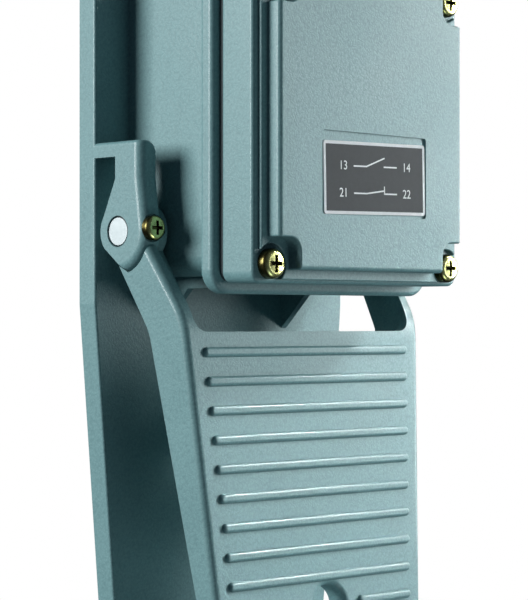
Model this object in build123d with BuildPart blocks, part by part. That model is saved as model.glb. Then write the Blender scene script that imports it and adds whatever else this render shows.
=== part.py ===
from build123d import *
import os
from math import acos, atan, cos, degrees, radians, sin, sqrt

os.makedirs("parts", exist_ok=True)

# Industrial foot switch, in millimetres.
# X runs across, +Y from the toe to the rear, +Z up.
# The origin is the middle of the four mounting holes, on the base's underside.

# Base plate
base_length = 242.0
base_width = 116.6
base_height = 7.7
base_recess = 3.2
base_rim = 5.0
base_rear_radius = 10.0
base_toe_radius = 16.0
base_edge_radius = 0.8
base_taper = 0.083
taper_lead = 8.9
stiffener = 4.0
mount_inset_x = 20.3
mount_inset_y = 9.0
mount_hole_radius = 3.25
mount_boss_radius = 7.0

# Housing cast on the base, with the flange that the cover sits on
housing_length = 95.1
housing_wall = 4.0
housing_radius = 6.0
housing_inset = 67.55
housing_side_gap = 1.4
flange_proud_x = 6.8
flange_proud_y = 5.9
flange_thickness = 5.7
flange_top = 54.6
flange_radius = 7.5
flange_edge_radius = 1.6
gusset_inset = 15.5
gusset_thickness = 2.5
gusset_proud = 3.7
gusset_knee_z = 21.0
gusset_toe = 16.8

# Pivot of the pedal
pivot_inset = 14.2
pivot_z = 18.7
pedal_travel_deg = 10.0
shaft_radius = 5.0
shaft_end_gap = 0.3
shaft_chamfer = 0.6
running_gap = 0.05
seat_gap = 0.02

# Lugs at both sides of the base
lug_thickness = 7.4
lug_head_radius = 13.0
lug_boss_radius = 8.3
lug_bar_top = 29.5
lug_bar_bottom = 17.6
lug_bar_reach = 16.8
lug_post_reach = 23.9
lug_post_length = 4.9
lug_edge_radius = 1.4
lug_outer_radius = 2.8
lug_corner_radius = 4.0
lug_seat_height = 12.0
retainer_shift = 0.8

# Pedal
tread_reach = 31.95
tread_rise = 28.3
tread_slope = 0.082
tread_thickness = 4.0
toe_inset = 3.0
toe_radius = 14.0
pedal_side_inset = 3.1
pedal_taper = 0.079
side_wall = 5.0
side_draft_deg = 6.0
arm_pin_length = 16.5
inner_corner_radius = 5.0
pedal_edge_radius = 2.2
pedal_side_height = 16.6
toe_side_height = 6.77
arm_break = 4.0
arm_top_slope = 0.66
arm_top_radius = 25.0
arm_bottom_slope = 0.59
arm_bottom_radius = 15.0
arm_nose_gap = 0.6
arm_nose_reach = 11.0
arm_boss_radius = 9.5
arm_boss_width = 5.0
lug_side_gap = 0.5
knuckle_reach = 19.6
knuckle_drop = 6.3
rib_count = 11
rib_first = 6.45
rib_last = 7.45
rib_width = 3.2
rib_height = 1.2
rib_end_inset = 7.2
rib_taper = 0.071
tread_hole_radius = 7.5
tread_hole_x = 2.5
tread_hole_inset = 15.4
tread_hole_depth = 7.0
tread_hole_edge = 2.1
tread_hole_wall = 3.0
rib_clear_radius = 13.8

# Cover
gasket_thickness = 1.5
cover_inset_x = 2.6
cover_inset_y = 3.2
cover_radius = 3.5
cover_side_height = 13.7
cover_wall = 3.2
step_side_inset = 2.4
step_end_inset = 1.1
step_height = 1.4
panel_side_inset = 5.1
panel_end_inset = 4.1
panel_height = 5.3
panel_radius = 2.0
panel_thickness = 3.5
panel_edge_radius = 1.4
pocket_edge_radius = 0.6
step_edge_radius = 0.4
cover_edge_radius = 1.1
screw_inset_x = 6.8
screw_inset_y = 5.9
pocket_side = 9.3
pocket_end = 10.0
pocket_corner = 4.5
pocket_radius = 6.3
cover_boss_radius = 5.5
cover_hole_radius = 2.7
gasket_inset = 0.6
gasket_band = 6.0

# Label plate and its recess
recess_width = 49.3
recess_height = 26.3
recess_depth = 0.7
recess_x = 0.35
recess_inset = 30.7
plate_width = 48.0
plate_height = 23.0
plate_thickness = 0.6
plate_radius = 1.0
plate_x = 0.45
plate_inset = 29.6
plate_turn_deg = 1.2

# Screws: head diameter, head height, shank diameter, length
m5_pan = (9.5, 3.7, 5.0, 20.0)
m4_retainer = (8.0, 3.1, 4.0, 7.6)
m4_pan = (8.0, 3.1, 4.0, 12.0)
m4_earth = (8.0, 3.1, 4.0, 8.0)
m35_pan = (6.6, 2.4, 3.5, 6.0)

# Shaft bearings in the housing walls
bush_radius = 6.5
bush_length = 7.5
seal_radius = 7.4
seal_width = 2.4
shaft_boss_radius = 9.5
shaft_boss_length = 6.0
arm_pin_radius = 1.5
lever_pin_radius = 2.0

# Lever on the shaft and the return spring
lever_hub_radius = 9.0
lever_hub_width = 12.0
lever_arm_width = 10.0
lever_arm_thickness = 6.0
lever_reach = 22.0
lever_tip = 4.0
coil_radius = 7.0
coil_wire = 1.6
coil_turns = 5
coil_pitch = 2.0
coil_side_gap = 3.0
ledge_near_y = 8.9
ledge_length = 4.0
ledge_width = 7.0
post_depth = 2.0
post_width = 5.0

# Contact block
block_bottom_z = 30.0
block_base = 4.8
block_half_y = 15.0
chamber_half_x = 12.6
chamber_half_y = 14.0
chamber_wall = 1.6
chamber_top_z = 50.0
block_lid = 2.5
ear_x = 25.4
ear_radius = 4.5
stem_radius = 3.0
guide_radius = 2.5
collar_radius = 5.5
collar_height = 2.0
bridge_end_gap = 0.9
bridge_width = 7.0
bridge_thickness = 1.2
tip_radius = 1.6
tip_height = 0.9
strip_thickness = 1.15
strip_edge = 0.2
strip_near_y = 4.0
strip_far_y = 12.0
strip_contact_width = 5.0
terminal_reach = 5.0
terminal_y = 8.0
clamp_size = 6.4
clamp_thickness = 1.0
contact_gap = 0.05
plunger_travel = 3.98
plunger_gap = 0.1
guide_above = 1.0
plunger_coil_radius = 4.2
plunger_coil_wire = 0.9
plunger_coil_turns = 6

# Cable gland in the rear wall
gland_z = 30.0
gland_boss_radius = 14.0
gland_boss_length = 3.0
gland_thread_radius = 10.0
gland_inner_length = 2.0
gland_washer = 1.5
gland_washer_radius = 13.0
gland_cap_gap = 0.5
gland_hex = 24.0
gland_hex_length = 6.0
gland_front_radius = 9.0
gland_front_length = 7.5
gland_bore = 5.5
gland_seat_radius = 6.8
gland_seat_depth = 6.0
gland_seal_proud = 2.0
cable_radius = 4.5
gland_cap_wall = 4.5
gland_cap_bore = 6.0
gland_cap_flats = 6.5
locknut_width = 5.0

# Earth terminal
earth_inset_x = 16.0
earth_inset_y = 13.0
earth_boss_radius = 5.0
earth_boss_height = 7.3
earth_washer_radius = 4.5
earth_washer_thickness = 0.8

# Places worked out from the sizes above
base_half = base_width / 2
base_toe_y = -base_length / 2
base_rear_y = base_length / 2
mount_spacing_x = base_width - 2 * mount_inset_x
mount_spacing_y = base_length - 2 * mount_inset_y
housing_middle_y = base_rear_y - housing_inset
housing_front_y = housing_middle_y - housing_length / 2
housing_rear_y = housing_middle_y + housing_length / 2
housing_width = base_width - 2 * (lug_thickness + lug_side_gap + arm_boss_width + housing_side_gap)
housing_side_x = housing_width / 2
taper_start_y = housing_front_y - taper_lead
toe_half = base_half + base_taper * (base_toe_y - taper_start_y)
gusset_x = housing_side_x - gusset_inset
flange_width = housing_width + 2 * flange_proud_x
flange_length = housing_length + 2 * flange_proud_y
flange_bottom = flange_top - flange_thickness
cover_width = flange_width - 2 * cover_inset_x
cover_length = flange_length - 2 * cover_inset_y
cover_screw_spacing_x = cover_width - 2 * screw_inset_x
cover_screw_spacing_y = cover_length - 2 * screw_inset_y
pivot_y = housing_front_y + pivot_inset
lug_bar_start_y = pivot_y + lug_bar_reach
lug_post_front_y = pivot_y + lug_post_reach
lug_post_rear_y = lug_post_front_y + lug_post_length
lug_seat_z = pivot_z + lug_seat_height
retainer_y = pivot_y + retainer_shift
tread_rear_y = pivot_y - tread_reach
tread_rear_z = pivot_z + tread_rise
toe_y = base_toe_y + toe_inset
pedal_width = base_width - 2 * pedal_side_inset
skirt_rear_z = tread_rear_z - pedal_side_height
tread_length = tread_rear_y - toe_y
skirt_slope = tread_slope + (pedal_side_height - toe_side_height) / tread_length
arm_break_y = tread_rear_y + arm_break
arm_end_y = pivot_y + lug_head_radius
knuckle_front_y = pivot_y - knuckle_reach
rib_pitch = (tread_length - rib_first - rib_last) / (rib_count - 1)
rib_half_length = pedal_width / 2 - rib_end_inset
tread_hole_y = toe_y + tread_hole_inset
inner_side_x = housing_side_x - housing_wall
inner_front_y = housing_front_y + housing_wall
inner_rear_y = housing_rear_y - housing_wall
cover_bottom = flange_top + gasket_thickness
ledge_z = cover_bottom + cover_side_height
step_z = ledge_z + step_height
panel_z = step_z + panel_height
panel_side_x = cover_width / 2 - panel_side_inset
panel_front_y = housing_middle_y - cover_length / 2 + panel_end_inset
recess_y = panel_front_y + recess_inset
plate_y = panel_front_y + plate_inset
coil_start_x = lever_hub_width / 2 + coil_side_gap
earth_x = inner_side_x - earth_inset_x
earth_y = inner_rear_y - earth_inset_y
lug_inner_x = base_half - lug_thickness
lug_middle_x = base_half - lug_thickness / 2
arm_outer_x = lug_inner_x - lug_side_gap
arm_inner_x = arm_outer_x - arm_boss_width
arm_middle_x = (arm_outer_x + arm_inner_x) / 2
tread_tilt = atan(tread_slope)
plunger_y = pivot_y + lever_reach
lever_top = pivot_z + lever_arm_thickness / 2
block_top = block_bottom_z + block_base
terminal_x = chamber_half_x + terminal_reach
strip_outer_x = terminal_x + clamp_size / 2
block_half_x = strip_outer_x + strip_edge
bridge_length = 2 * (chamber_half_x - chamber_wall - bridge_end_gap)
tip_x = bridge_length / 2 - tip_radius - strip_edge
strip_inner_x = tip_x - tip_radius - strip_edge
bridge_z = block_top + contact_gap + collar_height + seat_gap
lower_strip_z = block_top
bridge_top = bridge_z + bridge_thickness
upper_strip_z = bridge_top + tip_height + plunger_travel + 2 * contact_gap
arm_nose_radius = lug_head_radius + arm_nose_gap
tread_plane = Plane(origin=(0, tread_rear_y, tread_rear_z), x_dir=(1, 0, 0), z_dir=(0, sin(tread_tilt), cos(tread_tilt)))


# How wide half of the pedal is at a place along it
def pedal_half(y):
    return pedal_width / 2 + pedal_taper * (y - tread_rear_y)


# Height of the tread's top face
def tread_top(y):
    return tread_rear_z + tread_slope * (tread_rear_y - y)


# Height of the arms' upper and lower edges
def arm_top(y):
    return tread_top(arm_break_y) - arm_top_slope * (y - arm_break_y)


def arm_bottom(y):
    return skirt_rear_z - arm_bottom_slope * (y - tread_rear_y)


# Height of the skirt's lower edge under the tread
def skirt_bottom(y):
    return skirt_rear_z + skirt_slope * (tread_rear_y - y)


# Angle at which a line below the arm's upper edge meets the round end of the arm
def arm_end_angle(drop):
    line_angle = atan(arm_top_slope)
    distance = (arm_top(pivot_y) - drop - pivot_z) * cos(line_angle)
    return 90 - degrees(line_angle) + degrees(acos(distance / arm_nose_radius))


# A point at a radius and an angle from the pivot, in the YZ plane
def from_pivot(radius, angle_deg):
    return (pivot_y + radius * cos(radians(angle_deg)), pivot_z + radius * sin(radians(angle_deg)))


# A pan head screw with a cross recess: its seat is at Z 0 and its shank points down
def pan_screw(size):
    head_diameter, head_height, shank_diameter, length = size
    radius = head_diameter / 2
    shank = shank_diameter / 2
    point = 0.2 * shank
    recess_long = 0.58 * head_diameter
    recess_wide = 0.15 * head_diameter
    with BuildPart(mode=Mode.PRIVATE) as screw:
        with BuildSketch(Plane.XZ):
            with BuildLine():
                Polyline((0, head_height), (0, -length), (shank - point, -length), (shank, point - length),
                         (shank, 0), (radius, 0), (radius, 0.48 * head_height))
                ThreePointArc((radius, 0.48 * head_height), (0.9 * radius, 0.8 * head_height),
                              (0.6 * radius, 0.95 * head_height))
                ThreePointArc((0.6 * radius, 0.95 * head_height), (0.3 * radius, 0.987 * head_height),
                              (0, head_height))
            make_face()
        revolve(axis=Axis.Z)
        with BuildSketch(Plane.XY.offset(head_height + 0.2)):
            Rectangle(recess_long, recess_wide)
            Rectangle(recess_wide, recess_long)
        extrude(amount=-0.6 * head_height, taper=8, mode=Mode.SUBTRACT)
    return screw.part


# A washer or ring standing on its lower face
def ring(outer_radius, inner_radius, thickness):
    with BuildPart(mode=Mode.PRIVATE) as washer:
        with BuildSketch():
            Circle(outer_radius)
            Circle(inner_radius, mode=Mode.SUBTRACT)
        extrude(amount=thickness)
    return washer.part


# The plan of the base plate
def base_outline():
    with BuildSketch(mode=Mode.PRIVATE) as outline:
        Polygon((base_half, base_rear_y), (-base_half, base_rear_y), (-base_half, taper_start_y),
                (-toe_half, base_toe_y), (toe_half, base_toe_y), (base_half, taper_start_y), align=None)
        rear_corners = outline.vertices().group_by(Axis.Y)[-1]
        fillet(rear_corners, base_rear_radius)
        toe_corners = outline.vertices().group_by(Axis.Y)[0]
        fillet(toe_corners, base_toe_radius)
    return outline.sketch


# The side view of a lug, from the post at its rear to the round head at the pivot
def lug_outline():
    with BuildSketch(mode=Mode.PRIVATE) as outline:
        with BuildLine():
            head_rear = from_pivot(lug_head_radius, 81.6)
            head_nose = from_pivot(lug_head_radius, 165.0)
            flank_top = (pivot_y - 0.815 * lug_head_radius, pivot_z + 0.046 * lug_head_radius)
            flank_foot = from_pivot(lug_boss_radius, 231.3)
            boss_rear = from_pivot(lug_boss_radius, 306.2)
            Polyline(boss_rear, (lug_bar_start_y, lug_bar_bottom), (lug_post_front_y, lug_bar_bottom),
                     (lug_post_front_y, base_height - 1), (lug_post_rear_y, base_height - 1),
                     (lug_post_rear_y, lug_bar_top), (lug_bar_start_y, lug_bar_top), head_rear)
            ThreePointArc(head_rear, from_pivot(lug_head_radius, 125.0), head_nose)
            Polyline(head_nose, flank_top, flank_foot)
            ThreePointArc(flank_foot, from_pivot(lug_boss_radius, 270.0), boss_rear)
        make_face()
    return outline.sketch


with BuildPart() as base_casting:
    with BuildSketch():
        add(base_outline())
    extrude(amount=base_height)
    fillet(base_casting.faces().sort_by(Axis.Z)[-1].edges(), base_edge_radius)
    # Shallow recess underneath, with bosses at the holes and cross ribs
    with BuildSketch():
        offset(base_outline(), amount=-base_rim)
        with GridLocations(mount_spacing_x, mount_spacing_y, 2, 2):
            Circle(mount_boss_radius, mode=Mode.SUBTRACT)
        with Locations((0, housing_front_y), (0, housing_rear_y), (0, toe_y / 2)):
            Rectangle(base_width, stiffener, mode=Mode.SUBTRACT)
        Rectangle(stiffener, base_length, mode=Mode.SUBTRACT)
    extrude(amount=base_recess, mode=Mode.SUBTRACT)
    # Housing walls and flange
    with BuildSketch(Plane.XY.offset(base_height - 1)):
        with Locations((0, housing_middle_y)):
            RectangleRounded(housing_width, housing_length, housing_radius)
    extrude(amount=flange_bottom - base_height + 2)
    with BuildPart(mode=Mode.PRIVATE) as flange:
        with BuildSketch(Plane.XY.offset(flange_bottom)):
            with Locations((0, housing_middle_y)):
                RectangleRounded(flange_width, flange_length, flange_radius)
        extrude(amount=flange_thickness)
        fillet(flange.faces().sort_by(Axis.Z)[-1].edges(), flange_edge_radius)
        fillet(flange.faces().sort_by(Axis.Z)[0].edges(), flange_edge_radius)
    add(flange.part)
    # Gussets from the front wall down to the base
    gusset_front_y = housing_front_y - gusset_proud
    for side in (-1, 1):
        with BuildSketch(Plane.YZ.offset(side * gusset_x)):
            Polygon((housing_front_y + 1, flange_bottom + 1), (gusset_front_y, flange_bottom + 1),
                    (gusset_front_y, gusset_knee_z), (housing_front_y - gusset_toe, base_height),
                    (housing_front_y - gusset_toe, base_height - 1), (housing_front_y + 1, base_height - 1),
                    align=None)
        extrude(amount=gusset_thickness / 2, both=True)
    # Boss for the cable gland on the rear wall
    with BuildSketch(Plane.XZ.offset(-housing_rear_y + 1)):
        with Locations((0, gland_z)):
            Circle(gland_boss_radius)
    extrude(amount=-gland_boss_length - 1)
    # Lugs that carry the shaft's ends
    for side in (-1, 1):
        with BuildPart(mode=Mode.PRIVATE) as lug:
            with BuildSketch(Plane.YZ.offset(side * lug_middle_x)):
                add(lug_outline())
            extrude(amount=lug_thickness / 2, both=True)
            inner_rear_edge = lug.edges().filter_by(Axis.Z).group_by(Axis.Y)[-1].sort_by(Axis.X)
            fillet(inner_rear_edge[0 if side > 0 else -1], lug_corner_radius)
            top_faces = lug.faces().filter_by(lambda f: f.center().Z > lug_bar_bottom and f.normal_at().Z > 0.5)
            top_edges = top_faces.edges().filter_by(Axis.X, reverse=True).sort_by(Axis.X, reverse=side < 0)
            fillet(top_edges.filter_by(lambda e: abs(e.center().X) > base_half - 0.1), lug_outer_radius)
            top_faces = lug.faces().filter_by(lambda f: f.center().Z > lug_bar_bottom and f.normal_at().Z > 0.5)
            inner_edges = top_faces.edges().filter_by(lambda e: abs(e.center().X) < lug_inner_x + lug_edge_radius)
            fillet(inner_edges.filter_by(Axis.X, reverse=True), lug_edge_radius)
            # Flat seat for the head of the retaining screw
            with BuildSketch(Plane.XY.offset(lug_seat_z)):
                with Locations((side * lug_middle_x, retainer_y)):
                    Circle(m4_retainer[0] / 2 + lug_side_gap)
            extrude(amount=lug_head_radius, mode=Mode.SUBTRACT)
        add(lug.part)
    # Space inside the housing
    with BuildSketch(Plane.XY.offset(base_height)):
        with Locations((0, housing_middle_y)):
            RectangleRounded(2 * inner_side_x, housing_length - 2 * housing_wall, housing_radius / 2)
            with GridLocations(cover_screw_spacing_x, cover_screw_spacing_y, 2, 2):
                Circle(cover_boss_radius, mode=Mode.SUBTRACT)
    extrude(amount=flange_top - base_height + 1, mode=Mode.SUBTRACT)
    # Bosses round the shaft inside both walls
    for side in (-1, 1):
        with BuildSketch(Plane.YZ.offset(side * (inner_side_x + 1))):
            with Locations((pivot_y, pivot_z)):
                Circle(shaft_boss_radius)
        extrude(amount=-side * (shaft_boss_length + 1))
    # Pillars for the contact block and boss for the earth screw
    with BuildSketch(Plane.XY.offset(base_height - 1)):
        with Locations((ear_x, plunger_y), (-ear_x, plunger_y)):
            Circle(ear_radius)
    extrude(amount=block_bottom_z - base_height + 1)
    with BuildSketch(Plane.XY.offset(base_height - 1)):
        with Locations((earth_x, earth_y)):
            Circle(earth_boss_radius)
    extrude(amount=earth_boss_height + 1)
    # Post that the spring's front leg pushes on
    post_x = coil_start_x + coil_turns * coil_pitch
    post_top = pivot_z + coil_radius - coil_wire / 2
    with BuildSketch(Plane.XY.offset(base_height - 1)):
        with Locations((post_x, inner_front_y + post_depth / 2 - 0.5)):
            Rectangle(post_width, post_depth + 1)
    extrude(amount=post_top - base_height + 1)
    # Holes
    with BuildSketch(Plane.XY):
        with GridLocations(mount_spacing_x, mount_spacing_y, 2, 2):
            Circle(mount_hole_radius)
    extrude(amount=base_height + 1, mode=Mode.SUBTRACT)
    with BuildSketch(Plane.XY.offset(flange_top)):
        with Locations((0, housing_middle_y)):
            with GridLocations(cover_screw_spacing_x, cover_screw_spacing_y, 2, 2):
                Circle(m5_pan[2] / 2 + seat_gap)
    thread_end = ledge_z - m5_pan[3] - shaft_end_gap
    extrude(amount=thread_end - flange_top, mode=Mode.SUBTRACT)
    with BuildSketch(Plane.XY.offset(block_bottom_z)):
        with Locations((ear_x, plunger_y), (-ear_x, plunger_y)):
            Circle(m4_pan[2] / 2 + seat_gap)
    extrude(amount=-m4_pan[3], mode=Mode.SUBTRACT)
    with BuildSketch(Plane.XY.offset(base_height + earth_boss_height)):
        with Locations((earth_x, earth_y)):
            Circle(m4_earth[2] / 2 + seat_gap)
    extrude(amount=-m4_earth[3], mode=Mode.SUBTRACT)
    with BuildSketch(Plane.XZ.offset(-inner_rear_y + 1)):
        with Locations((0, gland_z)):
            Circle(gland_thread_radius + seat_gap)
    extrude(amount=-(housing_wall + gland_boss_length + 2), mode=Mode.SUBTRACT)
    # Bores for the shaft: lugs, bushes and seals
    with BuildSketch(Plane.YZ):
        with Locations((pivot_y, pivot_z)):
            Circle(bush_radius + seat_gap)
    extrude(amount=housing_side_x - seal_width, both=True, mode=Mode.SUBTRACT)
    with BuildSketch(Plane.YZ):
        with Locations((pivot_y, pivot_z)):
            Circle(shaft_radius + running_gap)
    extrude(amount=base_half + 1, both=True, mode=Mode.SUBTRACT)
    for side in (-1, 1):
        with BuildSketch(Plane.YZ.offset(side * (housing_side_x + 0.5))):
            with Locations((pivot_y, pivot_z)):
                Circle(seal_radius + seat_gap)
        extrude(amount=-side * (seal_width + 0.5), mode=Mode.SUBTRACT)
    # Threads for the screws that keep the shaft in the lugs
    with BuildSketch(Plane.XY.offset(lug_seat_z)):
        with Locations((lug_middle_x, retainer_y), (-lug_middle_x, retainer_y)):
            Circle(m4_retainer[2] / 2 + seat_gap)
    extrude(amount=-lug_seat_height, mode=Mode.SUBTRACT)
base_casting.part.label = "base_casting"
export_step(base_casting.part, "parts/base_casting.step")


# Side view of the pedal: the tread, its skirt and the outer arms that stop in front of the lugs
def pedal_outline():
    arm_end = from_pivot(arm_nose_radius, arm_end_angle(0))
    arm_middle = from_pivot(arm_nose_radius, (arm_end_angle(0) + 165.1) / 2)
    arm_nose = from_pivot(arm_nose_radius, 165.1)
    nose_y = pivot_y - arm_nose_reach
    with BuildSketch(mode=Mode.PRIVATE) as outline:
        with BuildLine():
            Polyline(arm_nose, (nose_y, arm_bottom(nose_y)), (tread_rear_y, skirt_rear_z),
                     (toe_y, skirt_bottom(toe_y)), (toe_y, tread_top(toe_y)),
                     (arm_break_y, tread_top(arm_break_y)), arm_end)
            ThreePointArc(arm_end, arm_middle, arm_nose)
        make_face()
        upper_break = outline.vertices().sort_by_distance((arm_break_y, tread_top(arm_break_y), 0))[0]
        fillet(upper_break, arm_top_radius)
        lower_break = outline.vertices().sort_by_distance((tread_rear_y, skirt_rear_z, 0))[0]
        fillet(lower_break, arm_bottom_radius)
    return outline.sketch


# Side view of the block that joins an outer arm to its pivot plate
def knuckle_outline():
    top_angle = arm_end_angle(knuckle_drop)
    top_end = from_pivot(arm_nose_radius, top_angle)
    middle = from_pivot(arm_nose_radius, (top_angle + 165.1) / 2)
    nose = from_pivot(arm_nose_radius, 165.1)
    nose_y = pivot_y - arm_nose_reach
    with BuildSketch(mode=Mode.PRIVATE) as outline:
        with BuildLine():
            Polyline(nose, (nose_y, arm_bottom(nose_y)), (knuckle_front_y, arm_bottom(knuckle_front_y)),
                     (knuckle_front_y, arm_top(knuckle_front_y) - knuckle_drop), top_end)
            ThreePointArc(top_end, middle, nose)
        make_face()
    return outline.sketch


# Plan of the pedal's edge, made smaller by a wall, on the tread's own plane
def tread_plan(inset, rear_y, toe_corner):
    front = toe_y + inset
    with BuildSketch(mode=Mode.PRIVATE) as outline:
        Polygon((pedal_half(rear_y) - inset, rear_y - tread_rear_y),
                (-pedal_half(rear_y) + inset, rear_y - tread_rear_y),
                (-pedal_half(front) + inset, front - tread_rear_y),
                (pedal_half(front) - inset, front - tread_rear_y), align=None)
        toe_corners = outline.vertices().group_by(Axis.Y)[0]
        fillet(toe_corners, toe_corner)
    return outline.sketch


with BuildPart() as pedal:
    with BuildSketch(Plane.YZ):
        add(pedal_outline())
    extrude(amount=pedal_width, both=True)
    with BuildSketch(tread_plane.offset(tread_thickness)):
        add(tread_plan(0, arm_end_y, toe_radius))
    extrude(amount=-tread_rear_z - tread_thickness, mode=Mode.INTERSECT)
    # Round the upper outer edges
    edge_depth = pedal_edge_radius / 2
    rim = pedal.edges().filter_by(lambda e: abs(e.center().X) > side_wall)
    rim = rim.filter_by(lambda e: e.center().Z > min(tread_top(e.center().Y), arm_top(e.center().Y)) - edge_depth)
    toe_edges = pedal.edges().filter_by(Axis.X).group_by(Axis.Y)[0]
    fillet(rim + toe_edges.sort_by(Axis.Z)[-1:], pedal_edge_radius)
    # Hollow under the tread and the space between the arms
    with BuildSketch(tread_plane.offset(-tread_thickness)):
        add(tread_plan(side_wall, arm_end_y, toe_radius - side_wall))
    extrude(amount=-tread_rear_z, taper=-side_draft_deg, mode=Mode.SUBTRACT)
    with BuildSketch(tread_plane.offset(tread_thickness)) as fork:
        Polygon((pedal_half(tread_rear_y) - side_wall, 0), (-pedal_half(tread_rear_y) + side_wall, 0),
                (-pedal_half(arm_end_y) + side_wall, arm_end_y - tread_rear_y),
                (pedal_half(arm_end_y) - side_wall, arm_end_y - tread_rear_y), align=None)
        fillet(fork.vertices().group_by(Axis.Y)[0], inner_corner_radius)
    extrude(amount=-3 * tread_thickness, mode=Mode.SUBTRACT)
    # Pivot plates inside the lugs
    for side in (-1, 1):
        with BuildSketch(Plane.YZ.offset(side * arm_inner_x)):
            Polygon((knuckle_front_y, arm_top(knuckle_front_y) - knuckle_drop),
                    (pivot_y, arm_top(pivot_y) - knuckle_drop), (pivot_y, arm_bottom(pivot_y)),
                    (knuckle_front_y, arm_bottom(knuckle_front_y)), align=None)
            with Locations((pivot_y, pivot_z)):
                Circle(arm_boss_radius)
        extrude(amount=side * arm_boss_width)
        with BuildSketch(Plane.YZ.offset(side * arm_inner_x)):
            add(knuckle_outline())
        extrude(amount=side * (pedal_half(knuckle_front_y) - arm_inner_x - 1))
    # Ribs on the tread
    for count in range(rib_count):
        along = rib_first + rib_pitch * count
        half_length = rib_half_length - rib_taper * rib_pitch * count
        hole_offset = tread_length - tread_hole_inset - along
        spans = [(-half_length, half_length)]
        if abs(hole_offset) < tread_hole_radius + tread_hole_edge:
            reach = sqrt(rib_clear_radius ** 2 - hole_offset ** 2)
            spans = [(-half_length, tread_hole_x - reach), (tread_hole_x + reach, half_length)]
        for start, end in spans:
            with BuildPart(mode=Mode.PRIVATE) as rib:
                with BuildSketch(tread_plane.offset(-rib_height)):
                    with Locations(((start + end) / 2, -along)):
                        SlotOverall(end - start, rib_width)
                extrude(amount=2 * rib_height)
                fillet(rib.faces().sort_by(Axis.Z)[-1].edges(), rib_height - 0.05)
            add(rib.part)
    # Round hole near the toe, with a collar under the tread and a rounded upper edge
    with BuildSketch(tread_plane.offset(-tread_thickness / 2)):
        with Locations((tread_hole_x, tread_hole_y - tread_rear_y)):
            Circle(tread_hole_radius + tread_hole_wall)
    extrude(amount=tread_thickness / 2 - tread_hole_depth)
    with BuildSketch(tread_plane.offset(tread_thickness)):
        with Locations((tread_hole_x, tread_hole_y - tread_rear_y)):
            Circle(tread_hole_radius)
    extrude(amount=-2 * (tread_thickness + tread_hole_depth), mode=Mode.SUBTRACT)
    hole_edges = pedal.edges().filter_by(GeomType.CIRCLE)
    hole_edges = hole_edges.filter_by(lambda e: abs(e.radius - tread_hole_radius) < seat_gap)
    fillet(hole_edges.sort_by(Axis.Z)[-1], tread_hole_edge)
    # Bores for the shaft and its pins
    with BuildSketch(Plane.YZ):
        with Locations((pivot_y, pivot_z)):
            Circle(shaft_radius + seat_gap)
    extrude(amount=base_half, both=True, mode=Mode.SUBTRACT)
    with BuildSketch(Plane.XY.offset(pivot_z)):
        with Locations((arm_middle_x, pivot_y), (-arm_middle_x, pivot_y)):
            Circle(arm_pin_radius + seat_gap)
    extrude(amount=arm_boss_radius + arm_boss_width, both=True, mode=Mode.SUBTRACT)
pedal.part.label = "pedal"
export_step(pedal.part, "parts/pedal.step")


with BuildPart() as pedal_shaft:
    with BuildSketch(Plane.YZ):
        with Locations((pivot_y, pivot_z)):
            Circle(shaft_radius)
    extrude(amount=base_half - shaft_end_gap, both=True)
    chamfer(pedal_shaft.edges().filter_by(GeomType.CIRCLE), shaft_chamfer)
    for side in (-1, 1):
        with BuildSketch(Plane.YZ.offset(side * lug_middle_x)):
            with Locations((pivot_y, pivot_z)):
                Circle(shaft_radius + 1)
                Circle(shaft_radius - 1, mode=Mode.SUBTRACT)
        extrude(amount=m4_retainer[2] / 2 + 0.2, both=True, mode=Mode.SUBTRACT)
    with BuildSketch(Plane.XY.offset(pivot_z)):
        with Locations((arm_middle_x, pivot_y), (-arm_middle_x, pivot_y)):
            Circle(arm_pin_radius + seat_gap)
        with Locations((0, pivot_y)):
            Circle(lever_pin_radius + seat_gap)
    extrude(amount=shaft_radius + 1, both=True, mode=Mode.SUBTRACT)
pedal_shaft.part.label = "pedal_shaft"
export_step(pedal_shaft.part, "parts/pedal_shaft.step")


with BuildPart() as shaft_retaining_screws:
    with Locations((lug_middle_x, retainer_y, lug_seat_z), (-lug_middle_x, retainer_y, lug_seat_z)):
        add(pan_screw(m4_retainer))
shaft_retaining_screws.part.label = "shaft_retaining_screws"
export_step(shaft_retaining_screws.part, "parts/shaft_retaining_screws.step")


with BuildPart() as arm_pins:
    with BuildSketch(Plane.XY.offset(pivot_z)):
        with Locations((arm_middle_x, pivot_y), (-arm_middle_x, pivot_y)):
            Circle(arm_pin_radius)
    extrude(amount=arm_pin_length / 2, both=True)
arm_pins.part.label = "arm_pins"
export_step(arm_pins.part, "parts/arm_pins.step")


with BuildPart() as lever_pin:
    with BuildSketch(Plane.XY.offset(pivot_z)):
        with Locations((0, pivot_y)):
            Circle(lever_pin_radius)
    extrude(amount=lever_hub_radius - 0.7, both=True)
lever_pin.part.label = "lever_pin"
export_step(lever_pin.part, "parts/lever_pin.step")


with BuildPart() as shaft_bushes:
    for side in (-1, 1):
        with BuildSketch(Plane.YZ.offset(side * (inner_side_x - shaft_boss_length))):
            with Locations((pivot_y, pivot_z)):
                Circle(bush_radius)
                Circle(shaft_radius + running_gap, mode=Mode.SUBTRACT)
        extrude(amount=side * bush_length)
shaft_bushes.part.label = "shaft_bushes"
export_step(shaft_bushes.part, "parts/shaft_bushes.step")


with BuildPart() as shaft_seals:
    for side in (-1, 1):
        with BuildSketch(Plane.YZ.offset(side * housing_side_x)):
            with Locations((pivot_y, pivot_z)):
                Circle(seal_radius)
                Circle(shaft_radius + running_gap, mode=Mode.SUBTRACT)
        extrude(amount=-side * (seal_width - running_gap))
shaft_seals.part.label = "shaft_seals"
export_step(shaft_seals.part, "parts/shaft_seals.step")


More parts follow.
